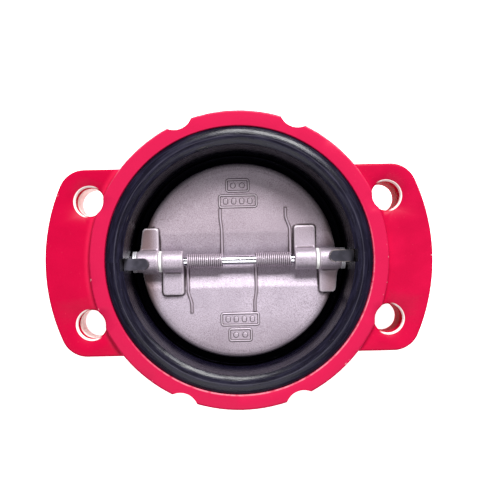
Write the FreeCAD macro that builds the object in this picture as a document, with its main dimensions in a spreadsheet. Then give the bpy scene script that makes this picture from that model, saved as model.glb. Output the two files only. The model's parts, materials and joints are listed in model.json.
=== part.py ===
import FreeCAD, Part
import math
import os

import Sketcher

# Dual plate wafer check valve, DN150.
#
# Frame: +Z is the valve's axis and points downstream, out of the outlet. The inlet face lies in
# the XY plane with its centre at the origin. The hinge shaft runs along X, above the inlet bar.
# All sizes are millimetres.

V = FreeCAD.Vector

SIZES = [
    # alias, value, what it is
    ("face_to_face", 76, "length between the rubber sealing faces"),
    ("rubber_proud", 1, "how far the rubber stands proud of each iron face"),
    ("ring_radius", 111.5, "outside of the iron ring"),
    ("ring_edge_round", 1.8, "rounding of the ring's outer edges"),
    ("recess_radius", 100, "recess for the rubber in each iron face"),
    ("recess_depth", 4, "depth of that recess"),
    ("recess_edge_round", 0.6, "rounding of the recess's edge"),
    ("iron_port_radius", 77, "iron bore at the inlet"),
    ("iron_chamber_radius", 91, "iron bore around the plates"),
    ("iron_step_height", 20, "height of the iron step under the seat"),
    ("lug_back", 34, "back of the lugs"),
    ("lug_front", 70, "front of the lugs"),
    ("lug_radius", 145, "outer arc of the lugs"),
    ("lug_half_height", 70, "half the height of a lug"),
    ("lug_corner_radius", 20, "outer corners of a lug"),
    ("lug_edge_round", 1.5, "cast rounding of the lug's rims"),
    ("lug_root_radius", 105, "where the lugs sink into the ring"),
    ("lug_root_fillet", 2.5, "cast fillet between lug and ring"),
    ("bolt_circle_radius", 120, "radius of the bolt circle"),
    ("bolt_half_angle", 22.5, "angle from the X axis to a bolt hole"),
    ("bolt_hole_radius", 11, "bolt holes in the lugs"),
    ("bolt_hole_chamfer", 1, "chamfer of those holes"),
    ("notch_radius", 13.4, "bolt notches in the rim"),
    ("notch_half_angle", 22.5, "angle from the Y axis to a notch"),
    ("bar_half_width", 5, "iron bar across the inlet"),
    ("bar_back", 8, "back of the iron bar"),
    ("bar_front", 19, "front of the iron bar"),
    ("bar_sink", 3, "how far the bar's ends run into the ring"),
    ("cast_mark_height", 2, "how far the cast mark stands out"),
    ("cast_mark_sink", 4, "how deep in the rim the cast mark starts"),
    ("cast_mark_back", 18, "back end of the cast mark"),
    ("cast_mark_front", 58, "front end of the cast mark"),
    ("cast_bar_place", 10.5, "distance of a cast bar from the middle"),
    ("cast_bar_width", 4, "width of a cast bar"),
    ("cast_arrow_head", 6.5, "half width of the cast arrow's head"),
    ("cast_arrow_stem", 2.2, "half width of the cast arrow's stem"),
    ("liner_port_radius", 73, "rubber bore at the inlet"),
    ("port_mouth_chamfer", 3, "chamfer at the mouth of that bore"),
    ("seat_height", 25, "height of the seat above the inlet face"),
    ("seat_lip_chamfer", 0.8, "inner edge of the seat's lip"),
    ("seat_lip_radius", 76.6, "outer edge of the seat's lip"),
    ("seat_ledge_radius", 77.8, "inner edge of the ledge beside the lip"),
    ("seat_ledge_drop", 0.5, "how far the ledge lies below the seat lip"),
    ("chamber_foot_radius", 84.2, "rubber chamber beside the plates"),
    ("chamber_bend_height", 52, "where the chamber starts to widen"),
    ("chamber_lip_radius", 86.3, "rubber chamber at the outlet lip"),
    ("bead_flat_inner", 90, "inner edge of the sealing bead's flat"),
    ("bead_flat_outer", 93.5, "outer edge of the sealing bead's flat"),
    ("bead_shoulder_drop", 2.6, "how far the bead falls to the lip"),
    ("bead_lip_step", 0.6, "from the lip out to the foot of that fall"),
    ("bead_knee_width", 4, "from the bead's flat out to its knee"),
    ("bead_knee_drop", 1.8, "how far the bead has fallen at its knee"),
    ("bead_rim_drop", 4.1, "how far the bead has fallen at the iron"),
    ("bar_coat_half_width", 9, "rubber coat of the bar"),
    ("bar_coat_back", 4, "back of the bar's rubber coat"),
    ("bar_coat_round", 3, "rounding of the coat's back edges"),
    ("bar_coat_sink", 2, "how far the coat's ends run into the liner"),
    ("plate_radius", 77, "outside of the plates"),
    ("plate_seat_gap", 0.1, "gap between plate and seat"),
    ("plate_thickness", 10, "thickness of a plate"),
    ("plate_edge_round", 4, "rounding of the plate's back edge"),
    ("plate_split_gap", 0.4, "half the gap between the two plates"),
    ("plate_heel_drop", 5, "how far the back falls towards the hinge"),
    ("plate_slope_start", 21.5, "where the back starts to fall"),
    ("hinge_height", 41, "height of the shaft's axis"),
    ("knuckle_radius", 8.35, "outside of a knuckle"),
    ("inner_knuckle_near", 43.5, "inner knuckle, end nearer the middle"),
    ("inner_knuckle_far", 60.2, "inner knuckle, far end"),
    ("outer_knuckle_near", 62.7, "outer knuckle, end nearer the middle"),
    ("outer_knuckle_far", 79.4, "outer knuckle, far end"),
    ("bore_clearance", 0.08, "clearance of the knuckle bores on the shaft, on the radius"),
    ("tab_reach", 26.5, "end of a tab from the shaft's axis"),
    ("tab_height", 39, "height of the tab's top above the inlet face"),
    ("tab_corner_radius", 2.5, "corners of a tab"),
    ("outer_tab_root", 78, "outer tab's slanted side at the shaft"),
    ("outer_tab_tip", 75.2, "outer tab's slanted side at its end"),
    ("tab_fillet", 1.6, "fillet between tab and knuckle"),
    ("shaft_radius", 3.75, "shaft"),
    ("shaft_half_length", 87.6, "half the shaft's length"),
    ("shaft_chamfer", 0.8, "chamfer of the shaft's ends"),
    ("spring_start", 13.2, "end of a spring's coil nearer the middle"),
    ("spring_turns", 18, "turns of a spring"),
    ("spring_pitch", 1.52, "distance between two turns"),
    ("spring_wire_radius", 0.74, "half the wire's thickness"),
    ("spring_coil_radius", 4.75, "coil, to the middle of the wire"),
    ("spring_leg_reach", 40.5, "end of a leg from the shaft's axis"),
    ("spring_leg_drop", 0.35, "how far a leg falls on its way"),
    ("spacer_near", 60.4, "white spacer washer, near face"),
    ("spacer_far", 62.5, "white spacer washer, far face"),
    ("spacer_radius", 8.3, "white spacer washer, outside"),
    ("washer_bore_clearance", 0.15, "clearance of the washers on the shaft, on the radius"),
    ("end_washer_start", 79.6, "near face of the first end washer"),
    ("end_washer_thickness", 1.5, "thickness of an end washer"),
    ("end_washer_step", 1.6, "distance from one end washer to the next"),
    ("end_washer_radius", 8.35, "end washers, outside"),
    ("block_tip", 69.3, "tip of the retainer block's nose"),
    ("block_end", 88.3, "outer end of the block"),
    ("block_half_width", 4.65, "half the block's width"),
    ("block_offset", 1.7, "how far the block sits to one side of the shaft"),
    ("block_top", 56, "top of the block"),
    ("block_nose_bottom", 49.9, "underside of the block's nose"),
    ("block_stem_near", 83.6, "inner side of the block's stem"),
    ("block_bottom", 35.5, "foot of the block's stem"),
    ("block_shaft_cover", 1.2, "wall of the stem beside the shaft"),
    ("block_stem_sink", 1, "how far the stem runs up into the nose"),
    ("block_edge_round", 0.6, "rounding of the block's edges"),
    ("groove_slack", 0.1, "gap around the block in its groove"),
    ("cut_past", 5, "how far a cut runs past what it cuts"),
]


def make_sheet(document):
    """Put every driving dimension in a sheet, one row each, with its alias."""
    sheet = document.addObject("Spreadsheet::Sheet", "Sizes")
    for row, (alias, value, words) in enumerate(SIZES, start=1):
        sheet.set(f"A{row}", words)
        sheet.set(f"B{row}", str(value))
        sheet.setAlias(f"B{row}", alias)
    document.recompute()
    return sheet


doc = FreeCAD.newDocument("wafer_check_valve")
sizes = make_sheet(doc)


def cell(name):
    """A sheet cell as an expression."""
    return f"Sizes.{name}"


def value_of(expression):
    """What an expression is worth now, in millimetres or degrees."""
    result = sizes.evalExpression(expression)
    return float(getattr(result, "Value", result))


def bind(thing, **expressions):
    """Bind properties of a feature to expressions on the sheet."""
    for name, expression in expressions.items():
        thing.setExpression(name, expression)


def new_body(label):
    body = doc.addObject("PartDesign::Body", label)
    body.Label = label
    return body


def new_sketch(body, name, role, offset=None):
    """A sketch on one of the body's own origin planes, moved along the plane's normal."""
    sketch = body.newObject("Sketcher::SketchObject", name)
    plane = next(item for item in body.Origin.OriginFeatures if item.Role == role)
    sketch.AttachmentSupport = (plane, [""])
    sketch.MapMode = "FlatFace"
    if offset is not None:
        sketch.setExpression("AttachmentOffset.Base.z", offset)
    return sketch


def draw_outline(sketch, corners, rounds=None):
    """A closed outline of straight lines, with each corner bound to a pair of expressions.

    rounds gives the radius of each corner that is rounded, by the corner's number."""
    places = [V(value_of(across), value_of(up), 0) for across, up in corners]
    first = sketch.GeometryCount
    count = len(corners)
    for index in range(count):
        line = Part.LineSegment(places[index], places[(index + 1) % count])
        sketch.addGeometry(line, False)
    for index in range(count):
        here, following = first + index, first + (index + 1) % count
        sketch.addConstraint(Sketcher.Constraint("Coincident", here, 2, following, 1))
    for index, (across, up) in enumerate(corners):
        pin_point(sketch, first + index, 1, across, up)
    for index, radius in (rounds or {}).items():
        size = value_of(radius)
        before, after = places[index - 1], places[(index + 1) % count]
        near = [places[index] + (end - places[index]).normalize() * size for end in (before, after)]
        lines = first + (index - 1) % count, first + index
        sketch.fillet(*lines, *near, size, True, True)
        arc = sketch.GeometryCount - 2
        rule = sketch.addConstraint(Sketcher.Constraint("Radius", arc, size))
        sketch.setExpression(f"Constraints[{rule}]", radius)


def draw_box(sketch, across, up):
    """A rectangle round the sketch's origin, from half its sizes."""
    draw_outline(sketch, [
        (f"-{across}", f"-{up}"),
        (across, f"-{up}"),
        (across, up),
        (f"-{across}", up),
    ])


def pin_point(sketch, geometry, point, across, up):
    """Bind one point of a sketch to two expressions."""
    for kind, expression in (("DistanceX", across), ("DistanceY", up)):
        constraint = Sketcher.Constraint(kind, geometry, point, value_of(expression))
        number = sketch.addConstraint(constraint)
        sketch.setExpression(f"Constraints[{number}]", expression)


def draw_circle(sketch, across, up, radius):
    """A circle whose centre and radius are bound to expressions."""
    centre = V(value_of(across), value_of(up), 0)
    number = sketch.addGeometry(Part.Circle(centre, V(0, 0, 1), value_of(radius)), False)
    pin_point(sketch, number, 3, across, up)
    rule = sketch.addConstraint(Sketcher.Constraint("Radius", number, value_of(radius)))
    sketch.setExpression(f"Constraints[{rule}]", radius)


def revolve(body, name, profile):
    """Turn a profile in the XZ plane once round Z."""
    feature = body.newObject("PartDesign::Revolution", name)
    feature.Profile = profile
    feature.ReferenceAxis = (profile, ["V_Axis"])
    feature.Angle = 360
    return feature


def pad(body, name, profile, length, both_ways=False, backwards=False):
    feature = body.newObject("PartDesign::Pad", name)
    feature.Profile = profile
    feature.SideType = "Symmetric" if both_ways else "One side"
    feature.Reversed = backwards
    bind(feature, Length=length)
    doc.recompute()
    return feature


def pocket(body, name, profile, length, both_ways=False, backwards=False):
    """Cut a profile out of the body, and make sure that it did cut."""
    before = body.Shape.Volume
    feature = body.newObject("PartDesign::Pocket", name)
    feature.Profile = profile
    feature.SideType = "Symmetric" if both_ways else "One side"
    feature.Reversed = backwards
    bind(feature, Length=length)
    doc.recompute()
    if not body.Shape.Volume < before:
        raise RuntimeError(f"{body.Label}: {name} cuts nothing")
    return feature


def edges_where(shape, test):
    """Names of the edges whose middle point and edge pass a test."""
    names = []
    for number, edge in enumerate(shape.Edges, start=1):
        middle = edge.valueAt((edge.FirstParameter + edge.LastParameter) / 2)
        if test(edge, middle):
            names.append(f"Edge{number}")
    return names


def dress(body, kind, name, test, size):
    """Fillet or chamfer the edges of the body's tip that pass a test."""
    base = body.Tip
    names = edges_where(base.Shape, test)
    if not names:
        raise RuntimeError(f"{body.Label}: {name} finds no edge")
    feature = body.newObject(f"PartDesign::{kind}", name)
    feature.Base = (base, names)
    bind(feature, **{"Radius" if kind == "Fillet" else "Size": size})
    doc.recompute()
    return feature


def is_ring(edge, radius, height):
    """True for an arc or circle about Z with this radius, at this height."""
    curve = edge.Curve
    return (
        hasattr(curve, "Radius")
        and abs(curve.Radius - radius) < 0.01
        and abs(curve.Center.z - height) < 0.01
        and math.hypot(curve.Center.x, curve.Center.y) < 0.01
    )


iron_back = cell("rubber_proud")
iron_front = f"{cell('face_to_face')} - {cell('rubber_proud')}"


def draw_lug(sketch, side):
    """A lug's outline: straight top and bottom, an outer arc, and an arc sunk in the ring."""
    half = value_of(cell("lug_half_height"))
    corners = []
    for name in ("lug_root_radius", "lug_radius"):
        radius = value_of(cell(name))
        corners.append((radius, math.degrees(math.asin(half / radius))))
    (root_radius, root_angle), (outer_radius, outer_angle) = corners
    turn = 0 if side > 0 else 180

    def on(radius, degrees):
        angle = math.radians(turn + degrees)
        return V(radius * math.cos(angle), radius * math.sin(angle), 0)

    root = Part.Arc(on(root_radius, -root_angle), on(root_radius, 0), on(root_radius, root_angle))
    rim = Part.Arc(
        on(outer_radius, -outer_angle), on(outer_radius, 0), on(outer_radius, outer_angle)
    )
    high = Part.LineSegment(on(root_radius, root_angle), on(outer_radius, outer_angle))
    low = Part.LineSegment(on(root_radius, -root_angle), on(outer_radius, -outer_angle))
    first = sketch.GeometryCount
    for piece in (root, rim, high, low):
        sketch.addGeometry(piece, False)
    root, rim, high, low = range(first, first + 4)
    rules = [
        ("Coincident", root, 2, high, 1),
        ("Coincident", high, 2, rim, 2),
        ("Coincident", root, 1, low, 1),
        ("Coincident", low, 2, rim, 1),
        ("Coincident", root, 3, -1, 1),
        ("Coincident", rim, 3, -1, 1),
        ("Horizontal", high),
        ("Horizontal", low),
    ]
    for rule in rules:
        sketch.addConstraint(Sketcher.Constraint(*rule))
    for arc, name in ((root, "lug_root_radius"), (rim, "lug_radius")):
        number = sketch.addConstraint(Sketcher.Constraint("Radius", arc, value_of(cell(name))))
        sketch.setExpression(f"Constraints[{number}]", cell(name))
    for line, way in ((high, 1), (low, -1)):
        height = way * side * half
        number = sketch.addConstraint(Sketcher.Constraint("DistanceY", line, 1, height))
        sign = "" if height > 0 else "-"
        sketch.setExpression(f"Constraints[{number}]", f"{sign}{cell('lug_half_height')}")


def make_valve_body():
    """The iron casting: ring, lugs, bar across the inlet, holes, notches and cast mark."""
    body = new_body("valve_body")
    ring = new_sketch(body, "ring_profile", "XZ_Plane")
    recess_floor = f"{iron_back} + {cell('recess_depth')}"
    recess_roof = f"{iron_front} - {cell('recess_depth')}"
    draw_outline(ring, [
        (cell("iron_port_radius"), recess_floor),
        (cell("recess_radius"), recess_floor),
        (cell("recess_radius"), iron_back),
        (cell("ring_radius"), iron_back),
        (cell("ring_radius"), iron_front),
        (cell("recess_radius"), iron_front),
        (cell("recess_radius"), recess_roof),
        (cell("iron_chamber_radius"), recess_roof),
        (cell("iron_chamber_radius"), cell("iron_step_height")),
        (cell("iron_port_radius"), cell("iron_step_height")),
    ])
    revolve(body, "ring", ring)
    doc.recompute()

    lugs = new_sketch(body, "lug_outline", "XY_Plane", cell("lug_back"))
    for side in (1, -1):
        draw_lug(lugs, side)
    pad(body, "lugs", lugs, f"{cell('lug_front')} - {cell('lug_back')}")

    lug_radius = value_of(cell("lug_radius"))
    half_height = value_of(cell("lug_half_height"))

    def lug_corner(edge, middle):
        upright = abs(edge.tangentAt(edge.FirstParameter).z) > 0.99
        return upright and abs(math.hypot(middle.x, middle.y) - lug_radius) < 0.1

    dress(body, "Fillet", "lug_corners", lug_corner, cell("lug_corner_radius"))

    faces = [value_of(cell("lug_back")), value_of(cell("lug_front"))]
    ring_radius = value_of(cell("ring_radius"))

    def lug_rim(edge, middle):
        flat = any(abs(middle.z - face) < 0.01 for face in faces)
        straight = abs(abs(middle.y) - half_height) < 0.01
        return flat and (straight or math.hypot(middle.x, middle.y) > ring_radius + 5)

    dress(body, "Fillet", "lug_rims", lug_rim, cell("lug_edge_round"))

    def lug_root(edge, middle):
        return any(is_ring(edge, ring_radius, face) for face in faces)

    dress(body, "Fillet", "lug_roots", lug_root, cell("lug_root_fillet"))

    ends = [value_of(iron_back), value_of(iron_front)]
    dress(
        body, "Fillet", "ring_edges",
        lambda edge, middle: any(is_ring(edge, ring_radius, end) for end in ends),
        cell("ring_edge_round"),
    )
    recess_radius = value_of(cell("recess_radius"))
    dress(
        body, "Fillet", "recess_edges",
        lambda edge, middle: any(is_ring(edge, recess_radius, end) for end in ends),
        cell("recess_edge_round"),
    )

    bar = new_sketch(body, "bar_outline", "XY_Plane", cell("bar_back"))
    bar_end = f"({cell('iron_port_radius')} + {cell('bar_sink')})"
    draw_box(bar, bar_end, cell("bar_half_width"))
    pad(body, "bar", bar, f"{cell('bar_front')} - {cell('bar_back')}")

    holes = new_sketch(body, "bolt_holes", "XY_Plane")
    across = f"{cell('bolt_circle_radius')} * cos({cell('bolt_half_angle')} * 1deg)"
    up = f"{cell('bolt_circle_radius')} * sin({cell('bolt_half_angle')} * 1deg)"
    for side in ("", "-"):
        for height in ("", "-"):
            draw_circle(
                holes, f"{side}{across}", f"{height}{up}", cell("bolt_hole_radius")
            )
    pocket(body, "bolt_hole_cut", holes, cell("face_to_face"), backwards=True)

    hole_radius = value_of(cell("bolt_hole_radius"))

    def hole_mouth(edge, middle):
        curve = edge.Curve
        if not hasattr(curve, "Radius") or abs(curve.Radius - hole_radius) > 0.01:
            return False
        return any(abs(curve.Center.z - face) < 0.01 for face in faces)

    dress(body, "Chamfer", "hole_mouths", hole_mouth, cell("bolt_hole_chamfer"))

    notches = new_sketch(body, "rim_notches", "XY_Plane")
    across = f"{cell('bolt_circle_radius')} * sin({cell('notch_half_angle')} * 1deg)"
    up = f"{cell('bolt_circle_radius')} * cos({cell('notch_half_angle')} * 1deg)"
    for side in ("", "-"):
        for height in ("", "-"):
            draw_circle(notches, f"{side}{across}", f"{height}{up}", cell("notch_radius"))
    pocket(body, "notch_cut", notches, cell("face_to_face"), backwards=True)

    add_cast_mark(body)
    return body


def add_cast_mark(body):
    """A raised flow arrow between two bars, on the top of the rim."""
    sink = cell("cast_mark_sink")
    # The XZ plane's normal points to -Y, so the sketch goes up by a negative offset.
    mark = new_sketch(body, "cast_mark", "XZ_Plane", f"{sink} - {cell('ring_radius')}")
    back, front = cell("cast_mark_back"), cell("cast_mark_front")
    near = f"({cell('cast_bar_place')} - {cell('cast_bar_width')} / 2)"
    far = f"({cell('cast_bar_place')} + {cell('cast_bar_width')} / 2)"
    for side in ("", "-"):
        draw_outline(mark, [
            (f"{side}{near}", back),
            (f"{side}{far}", back),
            (f"{side}{far}", front),
            (f"{side}{near}", front),
        ])
    head, stem = cell("cast_arrow_head"), cell("cast_arrow_stem")
    shoulder = f"{front} - 2 * {head}"
    draw_outline(mark, [
        (f"-{stem}", back),
        (stem, back),
        (stem, shoulder),
        (head, shoulder),
        ("0", front),
        (f"-{head}", shoulder),
        (f"-{stem}", shoulder),
    ])
    pad(body, "cast_arrow", mark, f"{sink} + {cell('cast_mark_height')}", backwards=True)


def make_rubber_liner():
    """The rubber moulding: bore, both face beads, seat, coat of the bar, grooves for the blocks."""
    body = new_body("rubber_liner")
    profile = new_sketch(body, "liner_profile", "XZ_Plane")
    recess_floor = f"{iron_back} + {cell('recess_depth')}"
    recess_roof = f"{iron_front} - {cell('recess_depth')}"
    face = cell("face_to_face")
    port, seat = cell("liner_port_radius"), cell("seat_height")
    ledge = f"{seat} - {cell('seat_ledge_drop')}"
    iron_port, step = cell("iron_port_radius"), cell("iron_step_height")
    mouth, lip = cell("port_mouth_chamfer"), cell("seat_lip_chamfer")
    rim = cell("recess_radius")
    knee = f"{cell('bead_flat_outer')} + {cell('bead_knee_width')}"
    knee_drop, rim_drop = cell("bead_knee_drop"), cell("bead_rim_drop")
    shoulder = cell("bead_shoulder_drop")
    draw_outline(profile, [
        (port, mouth),
        (f"{port} + {mouth}", "0"),
        (cell("bead_flat_outer"), "0"),
        (knee, knee_drop),
        (rim, rim_drop),
        (rim, recess_floor),
        (iron_port, recess_floor),
        (iron_port, step),
        (cell("iron_chamber_radius"), step),
        (cell("iron_chamber_radius"), recess_roof),
        (rim, recess_roof),
        (rim, f"{face} - {rim_drop}"),
        (knee, f"{face} - {knee_drop}"),
        (cell("bead_flat_outer"), face),
        (cell("bead_flat_inner"), face),
        (f"{cell('chamber_lip_radius')} + {cell('bead_lip_step')}", f"{face} - {shoulder}"),
        (cell("chamber_lip_radius"), f"{face} - 2 * {shoulder}"),
        (cell("chamber_foot_radius"), cell("chamber_bend_height")),
        (cell("chamber_foot_radius"), ledge),
        (cell("seat_ledge_radius"), ledge),
        (cell("seat_lip_radius"), seat),
        (f"{port} + {lip}", seat),
        (port, f"{seat} - {lip}"),
    ])
    revolve(body, "liner", profile)
    doc.recompute()

    coat = new_sketch(body, "bar_coat_outline", "XY_Plane", cell("bar_coat_back"))
    draw_box(coat, f"({port} + {cell('bar_coat_sink')})", cell("bar_coat_half_width"))
    pad(body, "bar_coat", coat, f"{seat} - {cell('bar_coat_back')}")

    side = value_of(cell("bar_coat_half_width"))
    underside = value_of(cell("bar_coat_back"))

    def coat_edge(edge, middle):
        along = abs(edge.tangentAt(edge.FirstParameter).x) > 0.99
        return along and abs(abs(middle.y) - side) < 0.01 and abs(middle.z - underside) < 0.01

    dress(body, "Fillet", "bar_coat_edges", coat_edge, cell("bar_coat_round"))

    core = new_sketch(body, "bar_core", "XY_Plane", cell("bar_back"))
    draw_box(core, f"({iron_port} + {cell('bar_sink')})", cell("bar_half_width"))
    depth = f"{cell('bar_front')} - {cell('bar_back')}"
    pocket(body, "bar_core_cut", core, depth, backwards=True)

    slack = cell("groove_slack")
    grooves = new_sketch(body, "block_grooves", "XY_Plane", f"{cell('block_bottom')} - {slack}")
    near = cell("iron_port_radius")
    far = f"({cell('block_end')} + {slack})"
    short = f"({cell('shaft_radius')} + {cell('block_shaft_cover')} + {slack})"
    long = f"({cell('block_offset')} + {cell('block_half_width')} + {slack})"
    for here, there in (("", "-"), ("-", "")):
        draw_outline(grooves, [
            (f"{here}{near}", f"{there}{short}"),
            (f"{here}{far}", f"{there}{short}"),
            (f"{here}{far}", f"{here}{long}"),
            (f"{here}{near}", f"{here}{long}"),
        ])
    pocket(body, "block_groove_cut", grooves, face, backwards=True)
    return body


def make_plate(label, turn):
    """A half-moon plate with its knuckles, closed at rest. The second is the first, turned."""
    body = new_body(label)
    front = f"({cell('seat_height')} + {cell('plate_seat_gap')})"
    back = f"({front} + {cell('plate_thickness')})"
    disc = new_sketch(body, "disc_outline", "XY_Plane", front)
    draw_circle(disc, "0", "0", cell("plate_radius"))
    pad(body, "disc", disc, cell("plate_thickness"))
    radius = value_of(cell("plate_radius"))
    top = value_of(back)
    dress(
        body, "Fillet", "disc_edge",
        lambda edge, middle: is_ring(edge, radius, top),
        cell("plate_edge_round"),
    )

    # The heel: everything on the far side of the split, and the slope down to the hinge line.
    heel = new_sketch(body, "heel_cut_outline", "YZ_Plane")
    split, start = cell("plate_split_gap"), cell("plate_slope_start")
    past = cell("cut_past")
    beyond = f"({cell('plate_radius')} + {past})"
    draw_outline(heel, [
        (f"-{beyond}", f"{front} - {past}"),
        (split, f"{front} - {past}"),
        (split, f"{back} - {cell('plate_heel_drop')}"),
        (start, back),
        (start, f"{back} + {past}"),
        (f"-{beyond}", f"{back} + {past}"),
    ])
    pocket(body, "heel_cut", heel, f"2 * {beyond}", both_ways=True)

    # The knuckles' tabs, seen from the outlet.
    tab_base = f"({back} - {cell('plate_heel_drop')})"
    tabs = new_sketch(body, "tab_outline", "XY_Plane", tab_base)
    reach, corner = cell("tab_reach"), cell("tab_corner_radius")
    draw_outline(tabs, [
        (cell("inner_knuckle_near"), split),
        (cell("inner_knuckle_far"), split),
        (cell("inner_knuckle_far"), reach),
        (cell("inner_knuckle_near"), reach),
    ], {2: corner, 3: corner})
    draw_outline(tabs, [
        (f"-{cell('outer_knuckle_near')}", split),
        (f"-{cell('outer_knuckle_near')}", reach),
        (f"-{cell('outer_tab_tip')}", reach),
        (f"-{cell('outer_tab_root')}", split),
    ], {1: corner, 2: corner})
    pad(body, "tabs", tabs, f"{cell('tab_height')} - {tab_base}")

    barrels = (
        ("inner_knuckle", "inner_knuckle_near", "inner_knuckle_far", 1),
        ("outer_knuckle", "outer_knuckle_near", "outer_knuckle_far", -1),
    )
    for name, near, far, side in barrels:
        place = cell(near) if side > 0 else f"-{cell(far)}"
        barrel = new_sketch(body, f"{name}_end", "YZ_Plane", place)
        draw_circle(barrel, "0", cell("hinge_height"), cell("knuckle_radius"))
        pad(body, name, barrel, f"{cell(far)} - {cell(near)}")

    tab_top = value_of(cell("tab_height"))
    knuckle_radius = value_of(cell("knuckle_radius"))
    hinge_height = value_of(cell("hinge_height"))
    drop = hinge_height - tab_top
    meeting = math.sqrt(knuckle_radius ** 2 - drop ** 2)

    def tab_root(edge, middle):
        along = abs(edge.tangentAt(edge.FirstParameter).x) > 0.99
        return along and abs(middle.z - tab_top) < 0.01 and abs(middle.y - meeting) < 0.01

    dress(body, "Fillet", "tab_roots", tab_root, cell("tab_fillet"))

    bore = new_sketch(body, "knuckle_bore", "YZ_Plane")
    draw_circle(
        bore, "0", cell("hinge_height"), f"{cell('shaft_radius')} + {cell('bore_clearance')}"
    )
    far_end = cell("outer_knuckle_far")
    pocket(body, "bore_cut", bore, f"2 * ({far_end} + {past})", both_ways=True)
    body.Placement = FreeCAD.Placement(V(0, 0, 0), FreeCAD.Rotation(V(0, 0, 1), turn))
    return body


def make_shaft():
    body = new_body("hinge_shaft")
    section = new_sketch(body, "shaft_section", "YZ_Plane")
    draw_circle(section, "0", cell("hinge_height"), cell("shaft_radius"))
    pad(body, "rod", section, f"2 * {cell('shaft_half_length')}", both_ways=True)
    half = value_of(cell("shaft_half_length"))
    dress(
        body, "Chamfer", "rod_ends",
        lambda edge, middle: abs(abs(middle.x) - half) < 0.01,
        cell("shaft_chamfer"),
    )
    return body


def make_washer(label, near, thickness, outside):
    """A flat washer on the shaft, with one face at a given place along X."""
    body = new_body(label)
    section = new_sketch(body, "washer_section", "YZ_Plane", near)
    height = cell("hinge_height")
    draw_circle(section, "0", height, outside)
    draw_circle(
        section, "0", height, f"{cell('shaft_radius')} + {cell('washer_bore_clearance')}"
    )
    pad(body, "washer", section, thickness)
    return body


def make_washers():
    """The white spacers between the knuckles, and two steel washers at each end."""
    thickness = cell("end_washer_thickness")
    spacer = f"{cell('spacer_far')} - {cell('spacer_near')}"
    washers = []
    for side, way in (("left", -1), ("right", 1)):
        near = cell("spacer_near") if way > 0 else f"-{cell('spacer_far')}"
        washers.append(
            make_washer(f"{side}_spacer_washer", near, spacer, cell("spacer_radius"))
        )
        for name, step in (("inner", 0), ("outer", 1)):
            start = f"{cell('end_washer_start')} + {step} * {cell('end_washer_step')}"
            near = start if way > 0 else f"-({start} + {thickness})"
            washers.append(
                make_washer(
                    f"{side}_{name}_end_washer", near, thickness, cell("end_washer_radius")
                )
            )
    return washers


def make_block(label, turn):
    """A retainer block: a stem that holds the shaft's end, and a round-tipped nose over the hinge.

    It is drawn at the +X end, a little towards +Y. The other one is the same, turned."""
    body = new_body(label)
    shift, half = cell("block_offset"), cell("block_half_width")
    slab = new_sketch(body, "nose_outline", "XY_Plane", cell("block_nose_bottom"))
    tip, end = cell("block_tip"), cell("block_end")
    bend = f"{tip} + {half}"
    draw_outline(slab, [
        (bend, f"{shift} - {half}"),
        (end, f"{shift} - {half}"),
        (end, f"{shift} + {half}"),
        (bend, f"{shift} + {half}"),
    ])
    pad(body, "nose", slab, f"{cell('block_top')} - {cell('block_nose_bottom')}")
    round_tip = new_sketch(body, "tip_outline", "XY_Plane", cell("block_nose_bottom"))
    draw_circle(round_tip, bend, shift, half)
    pad(body, "tip", round_tip, f"{cell('block_top')} - {cell('block_nose_bottom')}")

    stem = new_sketch(body, "stem_outline", "XY_Plane", cell("block_bottom"))
    near = cell("block_stem_near")
    beside = f"-({cell('shaft_radius')} + {cell('block_shaft_cover')})"
    draw_outline(stem, [
        (near, beside),
        (end, beside),
        (end, f"{shift} + {half}"),
        (near, f"{shift} + {half}"),
    ])
    stem_top = f"{cell('block_nose_bottom')} + {cell('block_stem_sink')}"
    pad(body, "stem", stem, f"{stem_top} - {cell('block_bottom')}")

    top = value_of(cell("block_top"))
    dress(
        body, "Fillet", "block_edges",
        lambda edge, middle: abs(middle.z - top) < 0.01,
        cell("block_edge_round"),
    )
    hole = new_sketch(body, "shaft_hole", "YZ_Plane", cell("block_stem_near"))
    draw_circle(hole, "0", cell("hinge_height"), cell("shaft_radius"))
    depth = f"{cell('shaft_half_length')} - {near}"
    pocket(body, "shaft_hole_cut", hole, depth, backwards=True)
    body.Placement = FreeCAD.Placement(V(0, 0, 0), FreeCAD.Rotation(V(0, 0, 1), turn))
    return body


def make_spring(label, start):
    """A close-wound torsion spring on the shaft, with one straight leg on each plate.

    The coil starts and ends below the shaft. Its first leg goes to -Y, its last one to +Y."""
    turns = round(value_of(cell("spring_turns")))
    pitch = value_of(cell("spring_pitch"))
    coil = value_of(cell("spring_coil_radius"))
    wire_radius = value_of(cell("spring_wire_radius"))
    reach = value_of(cell("spring_leg_reach"))
    drop = value_of(cell("spring_leg_drop"))
    height = value_of(cell("hinge_height"))

    helix = Part.makeHelix(pitch, pitch * turns, coil)
    # The helix stands on Z and starts at +X: lay it along X with its start under the shaft.
    helix.rotate(V(0, 0, 0), V(0, 1, 0), 90)
    helix.translate(V(start, 0, height))
    ends = sorted(
        (vertex.Point for vertex in helix.Vertexes), key=lambda point: point.x
    )
    first, last = ends
    leg_out = Part.makeLine(first + V(0, -reach, -drop), first)
    leg_back = Part.makeLine(last, last + V(0, reach, -drop))
    path = Part.Wire([leg_out, *helix.Edges, leg_back])
    section = Part.Wire([Part.makeCircle(wire_radius, first + V(0, -reach, -drop), V(0, 1, 0))])
    spring = doc.addObject("Part::Feature", label)
    spring.Label = label
    spring.Shape = path.makePipeShell([section], True, False, 0)
    spring.Placement = FreeCAD.Placement()
    return spring


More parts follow.
